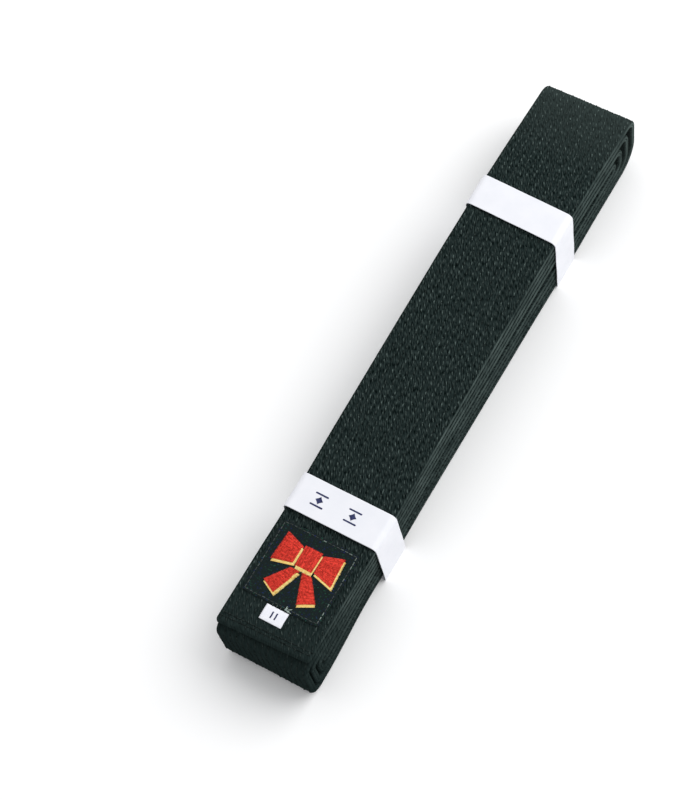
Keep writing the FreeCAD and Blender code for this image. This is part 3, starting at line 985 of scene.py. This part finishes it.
def make_label():
    ground = label_mesh()
    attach(finish_piece(ground, "label_weave", "label_ground"), "label_end")
    border = strand_mesh("label_border_threads", border_strands(), (0.42, 0.3))
    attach(finish_piece(border, "border_thread", "label_border_stitch"), "label_end")
    red = strand_mesh("emblem_red_threads", emblem_strands(0, 0, 0.36, 0.36), (0.46, 0.3))
    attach(finish_piece(red, "red_thread", "emblem_red_embroidery"), "label_end")
    yellow = strand_mesh("emblem_yellow_threads", emblem_strands(0.6, 1.1, 0.2, 0.4), (0.5, 0.28))
    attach(finish_piece(yellow, "yellow_thread", "emblem_yellow_embroidery"), "label_end")


make_label()

# ---- the size tag

TAG_TURN = 1.7
TAG_PLY = 0.17


def tag_line():
    """The ribbon's middle from one turned-under end to the other, as (y, z)."""
    low, high = tag_low[1], tag_high[1]
    base = tag_low[2]
    turn = 0.5 * TAG_PLY + 0.03
    under, over = base + 0.6 * TAG_PLY, base + 0.6 * TAG_PLY + 2 * turn
    angles = np.radians([45, 90, 135])
    out, up = turn * np.sin(angles), turn * np.cos(angles)
    share = np.linspace(0, 1, 9)
    along = high - turn - (high - low - 2 * turn) * share
    crown = over + 0.12 * np.sin(math.pi * share)
    first, last = [high - TAG_TURN, high - turn], [low + turn, low + TAG_TURN]
    y = np.concatenate([first, high - turn + out, along, low + turn - out, last])
    z = np.concatenate([[under, under], under + turn - up, crown, over - turn + up, [under, under]])
    return np.column_stack([y, z])


def tag_top(y):
    """Height of the middle of the ribbon's upper ply."""
    line = tag_line()[5:14]
    return np.interp(y, line[::-1, 0], line[::-1, 1])


def tag_curl(x):
    """Lift of the ribbon's selvedges."""
    middle = (tag_low[0] + tag_high[0]) / 2
    return 0.07 * np.abs((x - middle) / (tag_high[0] - tag_low[0]) * 2) ** 4


def ribbon_mesh():
    line = tag_line()
    ahead = line_headings(line)
    x = np.linspace(tag_low[0], tag_high[0], 15)
    rings = []
    for (y, z), (ahead_y, ahead_z) in zip(line, ahead):
        upper, lower = (
            np.column_stack([
                x, np.full(len(x), y + lift * ahead_z), z - lift * ahead_y + tag_curl(x),
            ])
            for lift in (TAG_PLY / 2, -TAG_PLY / 2)
        )
        rings.append(np.concatenate([upper, lower[::-1]]))
    points = np.array(rings)
    uv = np.stack(np.broadcast_arrays(points[:, :, 0], line_lengths(line)[:, None]), axis=-1)
    return make_object("size_tag_ribbon", points, ring_faces(len(line), 2 * len(x)), uv)


def mark_mesh():
    """Two short bars printed on the ribbon."""
    low, high = node_box("size_tag_mark")
    bar, stations = 0.7, 7
    points = []
    for left in (low[0], high[0] - bar):
        for y in np.linspace(low[1], high[1], stations):
            lean = 0.04 * math.sin(3 * y)
            z = tag_top(y) + TAG_PLY / 2 + tag_curl(left)
            for dx, dz in ((0, -0.02), (0, 0.03), (bar, 0.03), (bar, -0.02)):
                points.append((left + dx + lean, y, z + dz))
    own = ring_faces(stations, 4)
    faces = moved(own, 0, -1) + moved(own, 4 * stations, -1)
    return make_object("size_tag_print", points, faces)


def make_tag():
    ribbon = finish_piece(ribbon_mesh(), "tag_ribbon", "size_tag")
    mark = finish_piece(mark_mesh(), "blue_ink", "size_tag_mark")
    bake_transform(ribbon)
    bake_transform(mark)


def make_tacks():
    """The stitches that hold the tag to the label's edge, and the loose ends left beside them."""
    low, high = node_box("size_tag_stitch")
    count = 4
    strands = []
    for index in range(count):
        x = low[0] + (high[0] - low[0]) * (index + 0.5) / count
        t = np.linspace(-1, 1, 7)
        y = high[1] + 0.15 - 0.75 * (t + 0.1)
        z = LABEL_TOP + 0.12 * (1 - t**4) - 0.06 - 0.02 * (t > 0)
        strands.append((np.column_stack([x + 0.15 * t, y, z]), 0.05 + 0.1 * rng.random()))
    tacks = strand_mesh("size_tag_tacks", strands, (0.34, 0.26))
    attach(finish_piece(tacks, "border_thread", "size_tag_stitch"), "label_end")
    tuft = []
    root = np.array([high[0] - 1.2, high[1] + 0.3, LABEL_TOP + 0.02])
    for _ in range(7):
        heading = math.radians(rng.uniform(-20, 110))
        reach = rng.uniform(1.6, 3.4)
        t = np.linspace(0, 1, 8)
        bow = rng.uniform(-0.7, 0.7) * t**2
        left = root[0] + rng.uniform(-0.5, 0.5)
        x = left + reach * t * math.cos(heading) - bow * math.sin(heading)
        y = root[1] + reach * t * math.sin(heading) + bow * math.cos(heading)
        z = root[2] + 0.35 * np.sin(math.pi * np.minimum(t * 1.1, 1)) + 0.05
        tuft.append((np.column_stack([x, y, z]), 0.9 + 0.6 * rng.random()))
    loose = strand_mesh("loose_thread_ends", tuft, (0.3, 0.3))
    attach(finish_piece(loose, "border_thread"), "label_end")


make_tag()
make_tacks()

# ---- the paper bands

TOP_CORNER = 2.8
BOTTOM_CORNER = 1.2


def make_band(body, name, node, glue, skew, lean):
    """A paper strip round the pack, lapped and glued on its left side.

    Its ends are skewed along Y, and its right side leans out towards its foot.
    """
    low, high = node_box(node)
    glue_low, glue_high = node_box(glue)
    paper = 0.25
    right = high[0] - paper / 2
    inner_left = glue_high[0] + paper / 2
    outer_left = low[0] + paper / 2
    top, bottom = high[2] - paper / 2, low[2] + paper / 2
    lap = 1.0
    corners = [
        (inner_left, glue_high[2] + lap, 0),
        (inner_left, bottom, BOTTOM_CORNER),
        (right + lean, bottom, BOTTOM_CORNER),
        (right, top, TOP_CORNER),
        (outer_left, top, TOP_CORNER),
        (outer_left, glue_low[2] - lap, 0),
    ]
    ring = Route([(u, v, radius, 0, 0) for u, v, radius in corners])
    s = ring.stations(0.0, ring.length, 2.0, 0.5)
    # lines closer together near the paper's edges
    across = np.array([0, 0.35, 1.5, 4, 7, 10, 13, 15.5, 17, 18.15, 18.5]) / 18.5
    y = low[1] + (high[1] - low[1]) * across
    x_mid, z_mid, heading = ring.at(s[:, None])
    grid_s, grid_y = np.meshgrid(s, y, indexing="ij")
    # the paper swells a little between its corners
    top_ramp, side_ramp, flat_lap = 2.0, 4.0, 14.0
    on_top = np.clip((z_mid - top + top_ramp) / top_ramp, 0, 1)
    from_corner = np.minimum(z_mid, top - z_mid) - side_ramp
    on_side = np.clip(from_corner / side_ramp, 0, 1)
    slope = (grid_y - y.mean()) / (y.max() - y.min())
    swell = 0.12 * on_side * np.sin(0.16 * grid_s + 3 * slope) ** 2
    swell = swell + 0.05 * on_top * np.sin(0.33 * grid_s)
    # but the lap lies flat on the ply below it
    swell = np.where(grid_s > ring.length - flat_lap, 0, swell)
    blocks = []
    # the route runs round anticlockwise, so its right side is the outside
    for lift in (swell + paper / 2, swell - paper / 2):
        x = x_mid + np.sin(heading) * lift
        z = z_mid - np.cos(heading) * lift
        blocks.append(np.stack([x, grid_y - skew * x / right, z], axis=-1))
    points = np.concatenate([blocks[0], blocks[1][:, ::-1]], axis=1)
    uv_out = np.stack([grid_y, grid_s], axis=-1)
    uv = np.concatenate([uv_out, uv_out[:, ::-1]], axis=1)
    faces = moved(ring_faces(len(s), 2 * len(y)), 0, -1)
    band = make_object(name, points, faces, uv)
    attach(finish_piece(band, "band_paper", node), body)
    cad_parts[glue].data.materials.clear()
    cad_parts[glue].data.materials.append(MATERIALS["glue"])
    return top + paper / 2


def make_print(top):
    """Two printed marks on the lower band: a lozenge between two short bars."""
    low, high = node_box("lower_band_print")
    centre_y = (low[1] + high[1]) / 2
    bar, width = 6.4, 0.8
    sunk, raised = 0.06, 0.07
    points, faces = [], []

    def add_outline(outline):
        base, count = len(points), len(outline)
        for z in (top - sunk, top + raised):
            points.extend((x, y, z) for x, y in outline)
        faces.extend(moved(side_faces(2, count) + flat_ends(2, count), base))

    reach, steps = 1.9, 6
    corners = reach * np.array([(0, -1), (1, 0), (0, 1), (-1, 0), (0, -1)])
    share = np.arange(steps)[:, None] / steps
    hollow = 1 - 0.12 * np.sin(math.pi * share)
    sides = [(start + (end - start) * share) * hollow for start, end in zip(corners, corners[1:])]
    lozenge = np.concatenate(sides)
    for centre_x in (low[0] + bar / 2, high[0] - bar / 2):
        add_outline(lozenge + (centre_x, centre_y))
        for y in (low[1] + width / 2, high[1] - width / 2):
            ends = []
            for angle in range(-90, 270, 30):
                end = centre_x + (bar - width) / 2 * (1 if angle < 90 else -1)
                ends.append((
                    end + width / 2 * math.cos(math.radians(angle)),
                    y + width / 2 * math.sin(math.radians(angle)),
                ))
            add_outline(ends)
    marks = make_object("band_print", points, faces)
    marks.data.shade_flat()
    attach(finish_piece(marks, "blue_ink", "lower_band_print"), "lower_band")


make_band(
    "upper_band", "upper_band_wrap", "upper_paper_band", "upper_band_glue", skew=0.8, lean=0.0,
)
lower_top = make_band(
    "lower_band", "lower_band_wrap", "lower_paper_band", "lower_band_glue", skew=0.1, lean=1.6,
)
make_print(lower_top)

# ---- floor, light and camera


def make_floor():
    """Even white studio floor."""
    half_width, cells = 6000.0, 8
    ticks = np.linspace(-half_width, half_width, cells + 1)
    x, y = np.meshgrid(ticks, ticks, indexing="ij")
    # just under the bands, so that no two faces share a plane
    points = np.stack([x, y, np.full_like(x, -0.05)], axis=-1)
    floor = make_object("floor", points, grid_faces(cells, cells))
    paint = Paint("floor", roughness=0.9, specular=0.1)
    paint.set("Base Color", (0.97, 0.97, 0.97, 1))
    floor.data.materials.append(paint.material)


def make_light():
    """A large soft lamp over the belt's far right, and a white room."""
    light = bpy.data.lights.new("key", "AREA")
    light.shape = "DISK"
    light.size = 1.6
    light.energy = 14.5
    lamp = add_to_scene("key", light)
    lamp.location = (0.65, 0.85, 1.1)
    to_belt = Vector((0, 0, 0.02)) - lamp.location
    lamp.rotation_euler = to_belt.to_track_quat("-Z", "Y").to_euler()
    world = bpy.data.worlds.new("white_room")
    world.use_nodes = True
    background = world.node_tree.nodes["Background"]
    background.inputs["Color"].default_value = (0.985, 0.99, 1.0, 1)
    # the wall behind the belt is the brightest
    way = add_node(world.node_tree, "TexCoord", "Generated")
    towards = add_node(world.node_tree, "SeparateXYZ", "Y", {"Vector": way})
    strength = add_node(
        world.node_tree, "MapRange", "Result",
        {"Value": towards, "From Min": -0.8, "From Max": 0.8, "To Min": 0.55, "To Max": 1.12},
    )
    feed(world.node_tree, background.inputs["Strength"], strength)
    bpy.context.scene.world = world
    bpy.context.scene.view_settings.view_transform = "Standard"


def make_camera():
    """The camera stands over the belt's near right and looks down its length."""
    camera = add_to_scene("camera", bpy.data.cameras.new("camera"))
    camera.data.lens = 105.26
    camera.data.sensor_width = 36.0
    camera.location = (0.28325, -0.36753, 0.9514)
    camera.rotation_euler = Euler([math.radians(angle) for angle in (25.6, 6.14, 30.19)])
    bpy.context.scene.camera = camera


make_floor()
make_light()
make_camera()
